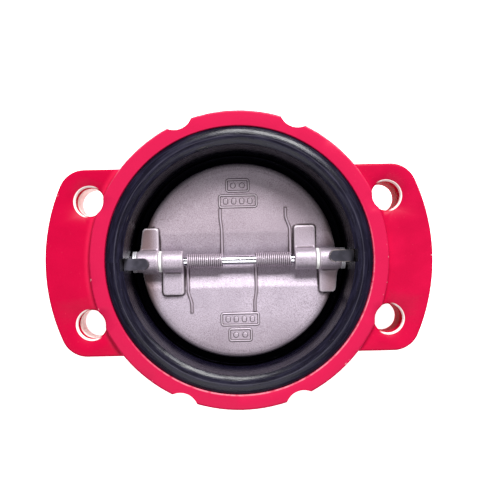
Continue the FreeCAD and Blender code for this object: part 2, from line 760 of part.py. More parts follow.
def check(objects):
    """Stop if anything in the document failed or any piece is not one good solid."""
    doc.recompute()
    for item in doc.Objects:
        if {"Invalid", "Error"} & set(item.State):
            raise RuntimeError(f"{item.Label} failed: {item.State}")
    for item in objects:
        shape = item.Shape
        if shape.isNull() or not shape.isValid() or len(shape.Solids) != 1:
            raise RuntimeError(f"{item.Label} is not one good solid")
        box = shape.BoundBox
        print(
            f"{item.Label:24s} {shape.Volume / 1000:9.2f} cm3"
            f"  x {box.XMin:7.1f} {box.XMax:7.1f}  y {box.YMin:7.1f} {box.YMax:7.1f}"
            f"  z {box.ZMin:7.1f} {box.ZMax:7.1f}"
        )


spring_length = value_of(f"{cell('spring_turns')} * {cell('spring_pitch')}")
spring_start = value_of(cell("spring_start"))
nodes = [
    make_valve_body(),
    make_rubber_liner(),
    make_plate("upper_plate", 0),
    make_plate("lower_plate", 180),
    make_shaft(),
    *make_washers(),
    make_block("right_retainer_block", 0),
    make_block("left_retainer_block", 180),
    make_spring("left_spring", -spring_start - spring_length),
    make_spring("right_spring", spring_start),
]
check(nodes)
os.makedirs("parts", exist_ok=True)
for node in nodes:
    node.Shape.exportStep(f"parts/{node.Label}.step")
print(len(nodes), "nodes written")
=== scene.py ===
# %% [markdown]
# # A dual plate wafer check valve
# The valve lies on its inlet face, so its axis points straight up. Two half-moon plates hang on
# one shaft inside a rubber-lined iron ring, and water pushes them open, away from the seat. The
# engineering model is loaded first and is never changed: it says how large each part is and what
# swings with what. Blender gives every part its finished surface around it.

# %% Load the frame
import json
import math

import bmesh
import bpy
from mathutils import Matrix, Vector, noise


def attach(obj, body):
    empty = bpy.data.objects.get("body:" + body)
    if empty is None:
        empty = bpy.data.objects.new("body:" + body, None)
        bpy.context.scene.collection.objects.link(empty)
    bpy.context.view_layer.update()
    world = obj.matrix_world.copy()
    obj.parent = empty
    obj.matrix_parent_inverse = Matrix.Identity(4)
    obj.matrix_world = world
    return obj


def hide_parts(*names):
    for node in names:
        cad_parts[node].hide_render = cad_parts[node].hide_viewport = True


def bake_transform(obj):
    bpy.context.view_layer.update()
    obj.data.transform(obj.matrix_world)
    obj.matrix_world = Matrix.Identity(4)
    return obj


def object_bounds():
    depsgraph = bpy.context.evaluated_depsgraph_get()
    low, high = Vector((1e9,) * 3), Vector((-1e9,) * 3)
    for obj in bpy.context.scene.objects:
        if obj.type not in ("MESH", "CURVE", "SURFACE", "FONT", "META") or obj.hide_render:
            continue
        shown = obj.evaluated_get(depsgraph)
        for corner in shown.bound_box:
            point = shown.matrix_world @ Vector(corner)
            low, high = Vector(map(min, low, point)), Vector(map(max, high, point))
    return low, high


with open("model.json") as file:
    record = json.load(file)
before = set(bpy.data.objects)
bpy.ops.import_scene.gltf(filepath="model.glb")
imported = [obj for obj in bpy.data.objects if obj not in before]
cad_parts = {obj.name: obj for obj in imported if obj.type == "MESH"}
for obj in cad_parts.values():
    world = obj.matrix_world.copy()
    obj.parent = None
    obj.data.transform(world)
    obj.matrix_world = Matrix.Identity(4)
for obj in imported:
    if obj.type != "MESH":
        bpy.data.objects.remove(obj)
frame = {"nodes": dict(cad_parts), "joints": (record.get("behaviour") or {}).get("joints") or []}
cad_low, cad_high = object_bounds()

scene = bpy.context.scene
mm = 0.001
ROOT, UPPER, LOWER = "root", "upper_plate_swing", "lower_plate_swing"
Z_AXIS, X_AXIS = Vector((0, 0, 1)), Vector((1, 0, 0))
HINGE = Vector((0, 0, frame["joints"][0]["pos_m"][2]))
print("box of the model in mm:", [round(v / mm, 1) for v in (*cad_low, *cad_high)])
print("the shaft's axis is at z =", round(HINGE.z / mm, 2), "mm")

# %% [markdown]
# ## How a finish is made
# A material is a small graph of nodes. Writing it out node by node is long and hard to read, so
# small helpers carry the work: one makes the material and sets what is the same all over on the
# shader itself, one adds a node and joins it up, and the others name the steps that every finish
# here uses: a noise, a mask, a product of masks and a mix of two colours. Patterns read Object
# coordinates, so they stay on the part when it moves.

# %% Helpers for finishes
def new_finish(name, **shader):
    """A new material; each word is a socket of its shader, with _ for a space."""
    finish = bpy.data.materials.new(name)
    finish.use_nodes = True
    sockets = finish.node_tree.nodes["Principled BSDF"].inputs
    for words, value in shader.items():
        sockets[words.replace("_", " ")].default_value = value
    return finish


def add(finish, kind, joins=None, **settings):
    """Adds a node. joins gives each of its sockets a number, a colour or another node's output."""
    node = finish.node_tree.nodes.new("ShaderNode" + kind)
    for name, value in settings.items():
        setattr(node, name, value)
    for socket, value in (joins or {}).items():
        if isinstance(value, bpy.types.NodeSocket):
            finish.node_tree.links.new(value, node.inputs[socket])
        else:
            node.inputs[socket].default_value = value
    return node


def to_shader(finish, socket, value):
    shader = finish.node_tree.nodes["Principled BSDF"]
    finish.node_tree.links.new(value, shader.inputs[socket])


def place_on(finish):
    """Object coordinates, in metres."""
    return add(finish, "TexCoord").outputs["Object"]


def maths(finish, operation, first, second=0.0):
    return add(finish, "Math", {0: first, 1: second}, operation=operation).outputs[0]


def times(finish, first, *others):
    """The product of masks and numbers."""
    for other in others:
        first = maths(finish, "MULTIPLY", first, other)
    return first


def mask(finish, value, start, end):
    """0 before start, 1 after end, and a smooth rise between them. start may be the larger."""
    joins = {"Value": value, "From Min": start, "From Max": end}
    return add(finish, "MapRange", joins, interpolation_type="SMOOTHSTEP").outputs["Result"]


def grain(finish, place, size, detail=3.0, stretch=(1, 1, 1)):
    """Noise between 0 and 1, with features of about this size in metres."""
    scaled = add(finish, "VectorMath", {0: place, 1: [s / size for s in stretch]},
                 operation="MULTIPLY").outputs[0]
    joins = {"Vector": scaled, "Scale": 1.0, "Detail": detail}
    return add(finish, "TexNoise", joins).outputs[0]


def blend_colours(finish, amount, first, second):
    node = add(finish, "Mix", data_type="RGBA")
    for socket, value in ((0, amount), (6, first), (7, second)):
        if isinstance(value, bpy.types.NodeSocket):
            finish.node_tree.links.new(value, node.inputs[socket])
        else:
            node.inputs[socket].default_value = value if socket == 0 else (*value, 1)
    return node.outputs[2]


def dent(finish, height, depth, below=None):
    """Bump from a height between 0 and 1, which stands for this depth in metres."""
    joins = {"Height": height, "Distance": depth, "Strength": 1.0}
    if below is not None:
        joins["Normal"] = below
    return add(finish, "Bump", joins).outputs["Normal"]


def round_the_axis(finish, place):
    """Radius, angle and height of a point about the valve's axis."""
    x, y, z = add(finish, "SeparateXYZ", {0: place}).outputs
    radius = maths(finish, "SQRT", maths(finish, "ADD", times(finish, x, x), times(finish, y, y)))
    return radius, maths(finish, "ARCTAN2", y, x), x, y, z


print("helpers for finishes are ready")

# %% [markdown]
# ## Red epoxy
# The iron is shot-blasted and coated with crimson epoxy powder, with a faint orange peel everywhere.
# Two colours mixed by a cloud of noise keep it from looking like plastic. The turned face of the
# ring is painted a pinker red than the lugs, a painted sheen, and the upper side and the left side
# are painted darker, painted shade. The coat gets its gloss from a thin clear coat alone: with the
# shader's own specular at zero, the holes' walls stay a deep red.

# %% Red epoxy
red_epoxy = new_finish("red_epoxy", Specular_IOR_Level=0.0, Coat_Weight=0.10, Coat_Roughness=0.28)
place = place_on(red_epoxy)
radius, turn, x, y, z = round_the_axis(red_epoxy, place)
lug_red, ring_red_sheen, dull_red = (0.56, 0.0045, 0.048), (0.545, 0.0110, 0.063), (0.49, 0.0034, 0.040)
cloud = grain(red_epoxy, place, 24 * mm, 4)
coat = blend_colours(red_epoxy, mask(red_epoxy, cloud, 0.35, 0.7), dull_red, lug_red)
# Painted shade: the upper side of the casting is painted a darker red.
painted_shade_upper_side = times(red_epoxy, mask(red_epoxy, y, -10 * mm, 60 * mm), 0.30)
coat = blend_colours(red_epoxy, painted_shade_upper_side, coat, (0.34, 0.0010, 0.030))
# Painted shade: the left side of the casting is painted a darker red.
painted_shade_left_side = times(red_epoxy, mask(red_epoxy, x, 90 * mm, -90 * mm), 0.45)
coat = blend_colours(red_epoxy, painted_shade_left_side, coat, (0.50, 0.0002, 0.032))
# Painted sheen: the ring's turned face is painted a pinker red than the lugs.
painted_sheen_ring_face = times(red_epoxy, mask(red_epoxy, radius, 112.8 * mm, 110.5 * mm),
                    mask(red_epoxy, z, 72.2 * mm, 73.5 * mm))
coat = blend_colours(red_epoxy, painted_sheen_ring_face, coat, ring_red_sheen)
freckles = mask(red_epoxy, grain(red_epoxy, place, 1.6 * mm, 2), 0.70, 0.76)
coat = blend_colours(red_epoxy, times(red_epoxy, freckles, 0.25), coat, (0.66, 0.05, 0.09))
print("plain coat:", len(red_epoxy.node_tree.nodes), "nodes")

# %% [markdown]
# The ring's two edges are painted pale in patches, a painted highlight, and so is a band on the
# fillet where the left lug runs into the ring. Each painted place is a product of masks: how far
# out it is, how high, and on which side of the valve.

# %% Painted highlights on the edges
# Painted highlight: the ring's inner edge low down and its outer edge at the top, pale in patches.
aslant = maths(red_epoxy, "SUBTRACT", y, times(red_epoxy, x, 0.5))
painted_highlight_inner_edge = times(red_epoxy, mask(red_epoxy, radius, 101.1 * mm, 100.7 * mm),
                  mask(red_epoxy, z, 73.0 * mm, 74.0 * mm),
                  mask(red_epoxy, aslant, 10 * mm, -100 * mm))
painted_highlight_outer_edge = times(red_epoxy, mask(red_epoxy, radius, 110.3 * mm, 110.9 * mm),
                   mask(red_epoxy, z, 73.4 * mm, 74.2 * mm), mask(red_epoxy, y, 45 * mm, 100 * mm))
patchy = mask(red_epoxy, grain(red_epoxy, place, 5 * mm, 3), 0.25, 0.60)
edge_wear_and_highlight = times(red_epoxy, maths(red_epoxy, "MAXIMUM", painted_highlight_inner_edge, painted_highlight_outer_edge), patchy, 0.5)
coat = blend_colours(red_epoxy, edge_wear_and_highlight, coat, (0.90, 0.38, 0.46))
# Painted highlight: a lighter red band on the fillet where the left lug meets the ring.
painted_fillet_highlight = times(red_epoxy, mask(red_epoxy, radius, 117 * mm, 113 * mm),
                    mask(red_epoxy, x, 40 * mm, -40 * mm), mask(red_epoxy, z, 71.8 * mm, 70.6 * mm),
                    maths(red_epoxy, "ADD", 0.25, times(red_epoxy, cloud, 0.6)))
coat = blend_colours(red_epoxy, painted_fillet_highlight, coat, (0.72, 0.020, 0.080))
print("with the rubbed places:", len(red_epoxy.node_tree.nodes), "nodes")

# %% [markdown]
# Bolts have scraped the coat off the mouths of the lug holes, where pale primer shows. The walls of
# the left lug's holes are painted near white as well, a painted highlight. The holes lie alike in
# all four quarters, so the point is folded into one quarter first, and its distance from one hole
# then serves all four. Noise added to the height makes the edges of the pale bands ragged.

# %% Bolt holes
BOLT_CIRCLE, HOLE_TURN, HOLE_RADIUS = 120 * mm, math.radians(22.5), 11 * mm
LUG_BACK, LUG_FRONT = 34 * mm, 70 * mm
first_hole = (BOLT_CIRCLE * math.cos(HOLE_TURN), BOLT_CIRCLE * math.sin(HOLE_TURN), 0)

folded = add(red_epoxy, "CombineXYZ", {0: maths(red_epoxy, "ABSOLUTE", x),
                                       1: maths(red_epoxy, "ABSOLUTE", y), 2: 0.0}).outputs[0]
from_hole = add(red_epoxy, "VectorMath", {0: folded, 1: first_hole},
                operation="DISTANCE").outputs["Value"]
in_hole = times(red_epoxy,
                mask(red_epoxy, from_hole, HOLE_RADIUS + 1.15 * mm, HOLE_RADIUS + 0.85 * mm),
                mask(red_epoxy, z, LUG_FRONT + 0.4 * mm, LUG_FRONT + 0.1 * mm),
                mask(red_epoxy, z, LUG_BACK - 0.4 * mm, LUG_BACK - 0.1 * mm))
wobble = times(red_epoxy, grain(red_epoxy, place, 3 * mm, 2), 1.6 * mm)
ragged_z = maths(red_epoxy, "ADD", z, wobble)
mouth = times(red_epoxy, mask(red_epoxy, ragged_z, LUG_FRONT - 4.0 * mm, LUG_FRONT - 3.6 * mm),
              mask(red_epoxy, radius, 117 * mm, 122 * mm))
foot = mask(red_epoxy, ragged_z, LUG_BACK + 3.0 * mm, LUG_BACK + 2.6 * mm)
# Painted highlight: the lower walls of the left lug's holes are painted near white.
painted_highlight_left_holes = times(red_epoxy, mask(red_epoxy, x, 10 * mm, -10 * mm),
                  mask(red_epoxy, ragged_z, LUG_FRONT - 11 * mm, LUG_FRONT - 12 * mm))
scraped_and_painted_highlight = maths(red_epoxy, "MAXIMUM", mouth, maths(red_epoxy, "MAXIMUM", foot, painted_highlight_left_holes))
coat = blend_colours(red_epoxy, in_hole, coat, (0.50, 0.0006, 0.030))
# Pale primer at the scraped mouths, and a painted highlight on the left holes' walls.
coat = blend_colours(red_epoxy, times(red_epoxy, in_hole, scraped_and_painted_highlight), coat, (0.95, 0.91, 0.88))
print("a hole at x, y =", [round(v / mm, 1) for v in first_hole[:2]], "mm")

# %% [markdown]
# The front edges of the ring and the lugs carry a few chips: noise with a high threshold, kept to
# a narrow band round each edge. The same cloud that mixes the reds also varies the roughness, and
# two sizes of bump stand for the orange peel and the waviness of the casting under it.

# %% Chips and grain
RING_EDGE, LUG_EDGE = (111.2 * mm, 74.7 * mm), (144.6 * mm, 69.6 * mm)


def on_edge(edge_radius, edge_height, reach):
    """1 within reach of the circle where a round wall meets a face, and 0 further off."""
    out = maths(red_epoxy, "SUBTRACT", radius, edge_radius)
    up = maths(red_epoxy, "SUBTRACT", z, edge_height)
    away = maths(red_epoxy, "MAXIMUM", maths(red_epoxy, "ABSOLUTE", out),
                 maths(red_epoxy, "ABSOLUTE", up))
    return mask(red_epoxy, away, reach, reach * 0.5)


near_edge = maths(red_epoxy, "MAXIMUM", on_edge(*RING_EDGE, 1.6 * mm), on_edge(*LUG_EDGE, 1.4 * mm))
chips = mask(red_epoxy, grain(red_epoxy, place, 4.5 * mm, 4), 0.68, 0.71)
coat = blend_colours(red_epoxy, times(red_epoxy, chips, near_edge), coat, (0.74, 0.30, 0.34))
to_shader(red_epoxy, "Base Color", coat)
rough = add(red_epoxy, "MapRange", {"Value": cloud, "To Min": 0.34, "To Max": 0.52}).outputs[0]
to_shader(red_epoxy, "Roughness", maths(red_epoxy, "MAXIMUM", rough, in_hole))
peel = grain(red_epoxy, place, 1.3 * mm, 2)
waves = dent(red_epoxy, cloud, 0.6 * mm)
to_shader(red_epoxy, "Normal", dent(red_epoxy, peel, 0.10 * mm, waves))
print("red epoxy:", len(red_epoxy.node_tree.nodes), "nodes")

# %% [markdown]
# ## Black rubber
# The liner is moulded and bonded in one go. It comes out of the tool with a blue-black skin, fine
# rings from the turned mould, and pale scuffs where it has rubbed on flanges. The rings and the
# scuffs follow the circumference, so their noise is read in radius, angle and height instead of
# x, y and z: a small factor on the angle stretches each speck to a streak. A thin line runs round
# the bead where the mould's halves met. Deep in the bore the rubber is painted black, a painted
# shade, and the part of the wall that faces away from the light is shaded too: setting Metallic
# there takes the last sheen off, so both are painted shade.

# %% Black rubber
PARTING_RADIUS = 92.6 * mm

black_rubber = new_finish("black_rubber", Specular_IOR_Level=0.27)
place = place_on(black_rubber)
radius, turn, x, y, z = round_the_axis(black_rubber, place)
along = add(black_rubber, "CombineXYZ", {
    0: radius, 1: times(black_rubber, turn, 9 * mm), 2: z}).outputs[0]
streak = grain(black_rubber, along, 1.5 * mm, 4)
fine_streak = grain(black_rubber, along, 0.55 * mm, 2)
skin = blend_colours(black_rubber, mask(black_rubber, streak, 0.3, 0.75),
                     (0.0040, 0.0030, 0.0090), (0.0125, 0.0105, 0.0270))
scuff_place = add(black_rubber, "CombineXYZ", {
    0: radius, 1: times(black_rubber, turn, 2.5 * mm), 2: z}).outputs[0]
scuffs = mask(black_rubber, grain(black_rubber, scuff_place, 0.9 * mm, 1), 0.74, 0.79)
where = mask(black_rubber, grain(black_rubber, place, 30 * mm, 2), 0.48, 0.62)
skin = blend_colours(black_rubber, times(black_rubber, scuffs, where, 0.55), skin,
                     (0.20, 0.17, 0.16))
# Painted shade: the rubber deep in the bore is painted near black.
painted_shade_deep = mask(black_rubber, z, 36 * mm, 28 * mm)
skin = blend_colours(black_rubber, painted_shade_deep, skin, (0.0015, 0.0013, 0.0025))
off_line = maths(black_rubber, "ABSOLUTE", maths(black_rubber, "SUBTRACT", radius, PARTING_RADIUS))
parting = times(black_rubber, mask(black_rubber, off_line, 0.55 * mm, 0.25 * mm),
                mask(black_rubber, z, 70 * mm, 73 * mm), streak)
skin = blend_colours(black_rubber, parting, skin, (0.060, 0.055, 0.080))
dust = mask(black_rubber, grain(black_rubber, place, 0.8 * mm, 1), 0.76, 0.80)
skin = blend_colours(black_rubber, times(black_rubber, dust, 0.35), skin, (0.22, 0.20, 0.18))
to_shader(black_rubber, "Base Color", skin)
rough = add(black_rubber, "MapRange", {"Value": streak, "From Min": 0.3, "From Max": 0.7,
                                       "To Min": 0.22, "To Max": 0.31}).outputs[0]
to_shader(black_rubber, "Roughness", rough)
# Painted shade: Metallic takes the sheen off the upper wall, which faces away from the lamp.
unlit = times(black_rubber, mask(black_rubber, z, 70 * mm, 52 * mm),
              mask(black_rubber, y, -48 * mm, -12 * mm), 0.92)
to_shader(black_rubber, "Metallic", maths(black_rubber, "MAXIMUM", painted_shade_deep, unlit))
to_shader(black_rubber, "Normal", dent(black_rubber, fine_streak, 0.05 * mm,
                                       dent(black_rubber, streak, 0.16 * mm)))
print("black rubber:", len(black_rubber.node_tree.nodes), "nodes")

# %% [markdown]
# ## Cast stainless steel
# The plates are investment castings, blasted with fine grit: a warm grey metal with a dense matte
# grain. The mesh carries an attribute named edge, above a half on outer edges and below it in
# corners, and the finish reads it: outer edges are painted lighter, partly wear and partly a painted
# highlight, and corners are painted darker, a painted shade. Brown-grey painted shade lies on the
# upper plate, near the lower rim and on the two outer tabs. A dark line is painted under each of the
# springs' legs, a painted shadow, so the springs' sizes are given here already.

# %% Cast stainless
WIRE_RADIUS, COIL_RADIUS, PITCH, HALF_TURNS = 0.74, 4.75, 1.52, 9
SPRINGS = (("left_spring", -26.88, 2.6, -1.0), ("right_spring", 26.88, -1.4, -3.2))

cast_stainless = new_finish("cast_stainless", Metallic=0.72, Specular_IOR_Level=0.4)
place = place_on(cast_stainless)
edge = add(cast_stainless, "Attribute", attribute_name="edge").outputs["Fac"]
cloud = grain(cast_stainless, place, 30 * mm, 4)
grit = grain(cast_stainless, place, 0.55 * mm, 2)
metal = blend_colours(cast_stainless, mask(cast_stainless, cloud, 0.3, 0.7),
                      (0.54, 0.470, 0.555), (0.64, 0.560, 0.655))
metal = blend_colours(cast_stainless, mask(cast_stainless, grit, 0.62, 0.20), metal,
                      (0.21, 0.155, 0.190))
x, y, z = add(cast_stainless, "SeparateXYZ", {0: place}).outputs
# Painted shade: the upper plate, the lower rim and the outer tabs are painted a darker brown-grey.
less_shade_near_top = times(cast_stainless, mask(cast_stainless, y, 48 * mm, 70 * mm), 0.20)
painted_shade_upper_plate = times(cast_stainless, mask(cast_stainless, y, -4 * mm, 30 * mm),
                    maths(cast_stainless, "SUBTRACT", 0.32, less_shade_near_top))
painted_shade_lower_rim = times(cast_stainless, mask(cast_stainless, y, -30 * mm, -72 * mm), 0.20)
more_shade_on_left = times(cast_stainless, mask(cast_stainless, x, 30 * mm, -30 * mm), 0.26)
painted_shade_outer_tabs = times(cast_stainless,
                  mask(cast_stainless, maths(cast_stainless, "ABSOLUTE", x), 60 * mm, 72 * mm),
                  mask(cast_stainless, maths(cast_stainless, "ABSOLUTE", y), 8 * mm, 11 * mm),
                  maths(cast_stainless, "ADD", 0.62, more_shade_on_left))
painted_plate_shade = maths(cast_stainless, "MAXIMUM", maths(cast_stainless, "MAXIMUM", painted_shade_upper_plate, painted_shade_lower_rim),
              painted_shade_outer_tabs)
metal = blend_colours(cast_stainless, painted_plate_shade, metal, (0.20, 0.125, 0.125))
print("plain and stained metal:", len(cast_stainless.node_tree.nodes), "nodes")

# %% Painted shadows under the legs, painted highlights and shade on the edges, and grain
legs = [(middle + way * HALF_TURNS * PITCH, way, dogleg)
        for name, middle, dogleg_low, dogleg_high in SPRINGS
        for way, dogleg in ((-1, dogleg_low), (1, dogleg_high))]
# Painted shadow: a dark line on the plate under each spring leg.
for leg_x, way, dogleg in legs:
    out = times(cast_stainless, y, way)
    bend = times(cast_stainless, mask(cast_stainless, out, 24 * mm, 34 * mm), dogleg * mm)
    aside = maths(cast_stainless, "SUBTRACT", maths(cast_stainless, "SUBTRACT", x, leg_x * mm), bend)
    painted_leg_shadow = times(cast_stainless,
                     mask(cast_stainless, maths(cast_stainless, "ABSOLUTE", aside),
                          1.9 * mm, 1.1 * mm),
                     mask(cast_stainless, out, 3 * mm, 8 * mm),
                     mask(cast_stainless, out, 42.5 * mm, 40.5 * mm), 0.8)
    metal = blend_colours(cast_stainless, painted_leg_shadow, metal, (0.10, 0.070, 0.080))
# Painted shade in the corners; outer edges painted lighter, partly wear and partly a painted
# highlight.
metal = blend_colours(cast_stainless, mask(cast_stainless, edge, 0.47, 0.34), metal,
                      (0.060, 0.042, 0.045))
metal = blend_colours(cast_stainless, mask(cast_stainless, edge, 0.56, 0.85), metal,
                      (0.84, 0.76, 0.82))
to_shader(cast_stainless, "Base Color", metal)
rough = add(cast_stainless, "MapRange", {"Value": grit, "From Min": 0.3, "From Max": 0.7,
                                         "To Min": 0.64, "To Max": 0.52}).outputs[0]
to_shader(cast_stainless, "Roughness", rough)
to_shader(cast_stainless, "Normal", dent(cast_stainless, grit, 0.05 * mm))
print("legs at x =", [round(leg_x, 2) for leg_x, way, dogleg in legs], "mm")

# %% [markdown]
# ## Bright steel and the plastics
# The shaft is ground rod: fine rings run round it, so its noise is squeezed along X and the shader
# is nearly a mirror. The end washers are turned steel, a little duller. The springs are drawn wire,
# painted dark on the inner side between the turns, a painted shade, so its colour follows the
# distance from the shaft's axis. The spacers are white fluoroplastic, and the retainer blocks are
# black moulded plastic, grey with wear on their edges and painted lighter at their outer ends, a
# painted highlight against the shade of the liner's groove.

# %% Bright steel and plastics
def turned_metal(name, colour, polish, ring_size, metallic=1.0):
    """Bright metal with fine rings round the X axis."""
    finish = new_finish(name, Metallic=metallic)
    here = place_on(finish)
    rings = grain(finish, here, ring_size, 2, stretch=(1, 0.08, 0.08))
    dark = tuple(c * 0.72 for c in colour)
    to_shader(finish, "Base Color",
              blend_colours(finish, mask(finish, rings, 0.3, 0.6), dark, colour))
    to_shader(finish, "Roughness", add(finish, "MapRange", {
        "Value": rings, "To Min": polish + 0.12, "To Max": polish}).outputs[0])
    to_shader(finish, "Normal", dent(finish, rings, 0.012 * mm))
    return finish


polished_steel = turned_metal("polished_steel", (0.76, 0.73, 0.80), 0.10, 0.5 * mm)
washer_steel = turned_metal("washer_steel", (0.80, 0.78, 0.84), 0.45, 0.35 * mm, 0.5)

spring_steel = new_finish("spring_steel", Metallic=0.9, Roughness=0.55)
x, y, z = add(spring_steel, "SeparateXYZ", {0: place_on(spring_steel)}).outputs
above = maths(spring_steel, "SUBTRACT", z, HINGE.z)
off_axis = maths(spring_steel, "SQRT", maths(spring_steel, "ADD", times(spring_steel, y, y),
                                             times(spring_steel, above, above)))
# Painted shade: the wire is painted dark on its inner side, between the turns.
clear_of_painted_shade = mask(spring_steel, off_axis, (COIL_RADIUS + 0.20) * mm, (COIL_RADIUS + 0.67) * mm)
to_shader(spring_steel, "Base Color",
          blend_colours(spring_steel, clear_of_painted_shade, (0.10, 0.08, 0.09), (0.64, 0.55, 0.63)))

white_plastic = new_finish("white_plastic", Roughness=0.42)
fine = grain(white_plastic, place_on(white_plastic), 1.2 * mm, 3)
to_shader(white_plastic, "Base Color",
          blend_colours(white_plastic, mask(white_plastic, fine, 0.3, 0.6),
                        (0.84, 0.83, 0.82), (0.95, 0.95, 0.94)))
to_shader(white_plastic, "Normal", dent(white_plastic, fine, 0.03 * mm))

black_plastic = new_finish("black_plastic", Specular_IOR_Level=0.4)
place = place_on(black_plastic)
edge = add(black_plastic, "Attribute", attribute_name="edge").outputs["Fac"]
speck = grain(black_plastic, place, 1.1 * mm, 4)
patch = grain(black_plastic, place, 5 * mm, 3)
body_tone = blend_colours(black_plastic, mask(black_plastic, patch, 0.35, 0.7),
                          (0.017, 0.015, 0.026), (0.036, 0.032, 0.050))
edge_wear_and_highlight = mask(black_plastic, maths(black_plastic, "ADD", edge, times(black_plastic, patch, 0.30)),
              0.70, 0.90)
x, y, z = add(black_plastic, "SeparateXYZ", {0: place}).outputs
busy_side = maths(black_plastic, "ADD", 0.25, mask(black_plastic, x, -60 * mm, 60 * mm))
worn = times(black_plastic, edge_wear_and_highlight, busy_side, mask(black_plastic, speck, 0.36, 0.56))
# Painted highlight: the blocks' outer ends are painted lighter against the shade of the groove.
painted_light_outer_end = mask(black_plastic, maths(black_plastic, "ABSOLUTE", x), 78 * mm, 86 * mm)
body_tone = blend_colours(black_plastic, times(black_plastic, painted_light_outer_end, 0.4), body_tone,
                          (0.14, 0.13, 0.17))
body_tone = blend_colours(black_plastic, worn, body_tone, (0.40, 0.34, 0.30))
to_shader(black_plastic, "Base Color", body_tone)
to_shader(black_plastic, "Roughness", add(black_plastic, "MapRange", {
    "Value": speck, "To Min": 0.42, "To Max": 0.62}).outputs[0])
to_shader(black_plastic, "Normal", dent(black_plastic, speck, 0.05 * mm))

FINISHES = dict(red_epoxy=red_epoxy, black_rubber=black_rubber, cast_stainless=cast_stainless,
                polished_steel=polished_steel, spring_steel=spring_steel,
                washer_steel=washer_steel, white_plastic=white_plastic,
                black_plastic=black_plastic)
print("finishes:", ", ".join(FINISHES))

# %% [markdown]
# ## How a part is built
# Each part starts as a bmesh: a few points or a create_ shape that spin, extrude and bevel turn
# into the real thing. One helper then writes the mesh, keeps real edges crisp while everything
# rounder is shaded smooth, and ties the part to the body it moves with.

# %% Helpers for parts
def write_part(name, shape, slot, body=None, stands_for=None, merge=True):
    """Writes a bmesh out as a finished object, riding on a body in place of a CAD node."""
    if merge:
        bmesh.ops.remove_doubles(shape, verts=shape.verts, dist=0.002 * mm)
        bmesh.ops.recalc_face_normals(shape, faces=shape.faces)
    mesh = bpy.data.meshes.new(name)
    shape.to_mesh(mesh)
    shape.free()
    part = bpy.data.objects.new(name, mesh)
    scene.collection.objects.link(part)
    finish_part(part, slot, body, stands_for)
    return part


def finish_part(part, slot, body=None, stands_for=None):
    part.data.shade_smooth()
    part.data.set_sharp_from_angle(angle=math.radians(32))
    part.data.materials.clear()
    part.data.materials.append(FINISHES[slot])
    if body:
        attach(part, body)
    if stands_for:
        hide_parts(stands_for)


def settle(part):
    """Turns a part's live modifiers into plain mesh."""
    bpy.context.view_layer.update()
    dense = part.evaluated_get(bpy.context.evaluated_depsgraph_get())
    part.data = bpy.data.meshes.new_from_object(dense)
    part.modifiers.clear()


def carve(part, tool, operation="DIFFERENCE"):
    """Cuts one closed shape out of another, or joins the two."""
    cut = part.modifiers.new("carve", "BOOLEAN")
    cut.operation, cut.solver, cut.object = operation, "EXACT", tool
    settle(part)
    bpy.data.objects.remove(tool)


def melt(part, grid):
    """Fuses overlapping closed shapes into one skin with a mesh of this size."""
    fuse = part.modifiers.new("melt", "REMESH")
    fuse.mode, fuse.voxel_size = "VOXEL", grid
    settle(part)


def sweep_outline(shape, corners, axis, centre, steps, closed=True):
    """Spins an outline of (across, along, rounding) in mm once round an axis.

    Round Z the outline lies in the XZ plane; round X it is (radius, x) above the centre."""
    rounded, points = {}, []
    for across, along_axis, rounding in corners:
        spot = Vector((across, 0, along_axis)) if axis.z else Vector((along_axis, 0, across))
        points.append(shape.verts.new(centre + spot * mm))
        if rounding:
            rounded.setdefault(rounding, []).append(points[-1])
    pairs = list(zip(points, points[1:]))
    if closed:
        pairs.append((points[-1], points[0]))
    for first, second in pairs:
        shape.edges.new((first, second))
    for rounding, verts in rounded.items():
        bmesh.ops.bevel(shape, geom=verts, affect="VERTICES", offset=rounding * mm,
                        offset_type="OFFSET", segments=max(3, round(rounding * 2)),
                        profile=0.5, material=-1, clamp_overlap=False)
    bmesh.ops.spin(shape, geom=shape.verts[:] + shape.edges[:], cent=centre, axis=axis,
                   dvec=(0, 0, 0), angle=math.tau, steps=steps, use_merge=True)


def box(shape, low, high):
    """A box between two corners in mm; gives its points."""
    low, high = Vector(low) * mm, Vector(high) * mm
    size = Matrix.Diagonal((*(high - low), 1))
    matrix = Matrix.Translation((low + high) / 2) @ size
    return bmesh.ops.create_cube(shape, size=1, matrix=matrix)["verts"]


def round_edges(shape, verts, size, test, segments=4):
    """Bevels the edges between these points that pass a test on their two ends."""
    chosen = {e for v in verts for e in v.link_edges if e.other_vert(v) in set(verts)}
    edges = [e for e in chosen if test(e.verts[0].co / mm, e.verts[1].co / mm)]
    bmesh.ops.bevel(shape, geom=edges, affect="EDGES", offset=size * mm, offset_type="OFFSET",
                    segments=segments, profile=0.5, material=-1)


def mark_edges(part, rounds, full):
    """Stores how far each point stands out of its smoothed surroundings, 0 to 1 about a half."""
    sharp, soft = bmesh.new(), bmesh.new()
    sharp.from_mesh(part.data)
    soft.from_mesh(part.data)
    for _ in range(rounds):
        bmesh.ops.smooth_vert(soft, verts=soft.verts, factor=0.5, use_axis_x=True,
                              use_axis_y=True, use_axis_z=True)
    sharp.normal_update()
    values = [0.5 + 0.5 * max(-1, min(1, (a.co - b.co).dot(a.normal) / full))
              for a, b in zip(sharp.verts, soft.verts)]
    sharp.free()
    soft.free()
    part.data.attributes.new("edge", "FLOAT", "POINT").data.foreach_set("value", values)


print("helpers for parts are ready")

# %% [markdown]
# ## The iron casting
# The ring, its two lugs, the bolt holes, the rim notches and the cast flow arrow already have
# their true shape in the engineering model, so modelling them again would only add errors. That
# mesh comes as loose triangles, which would show as flat facets. A copy of it is merged instead,
# so that its curved faces shade smoothly and its machined edges stay crisp.

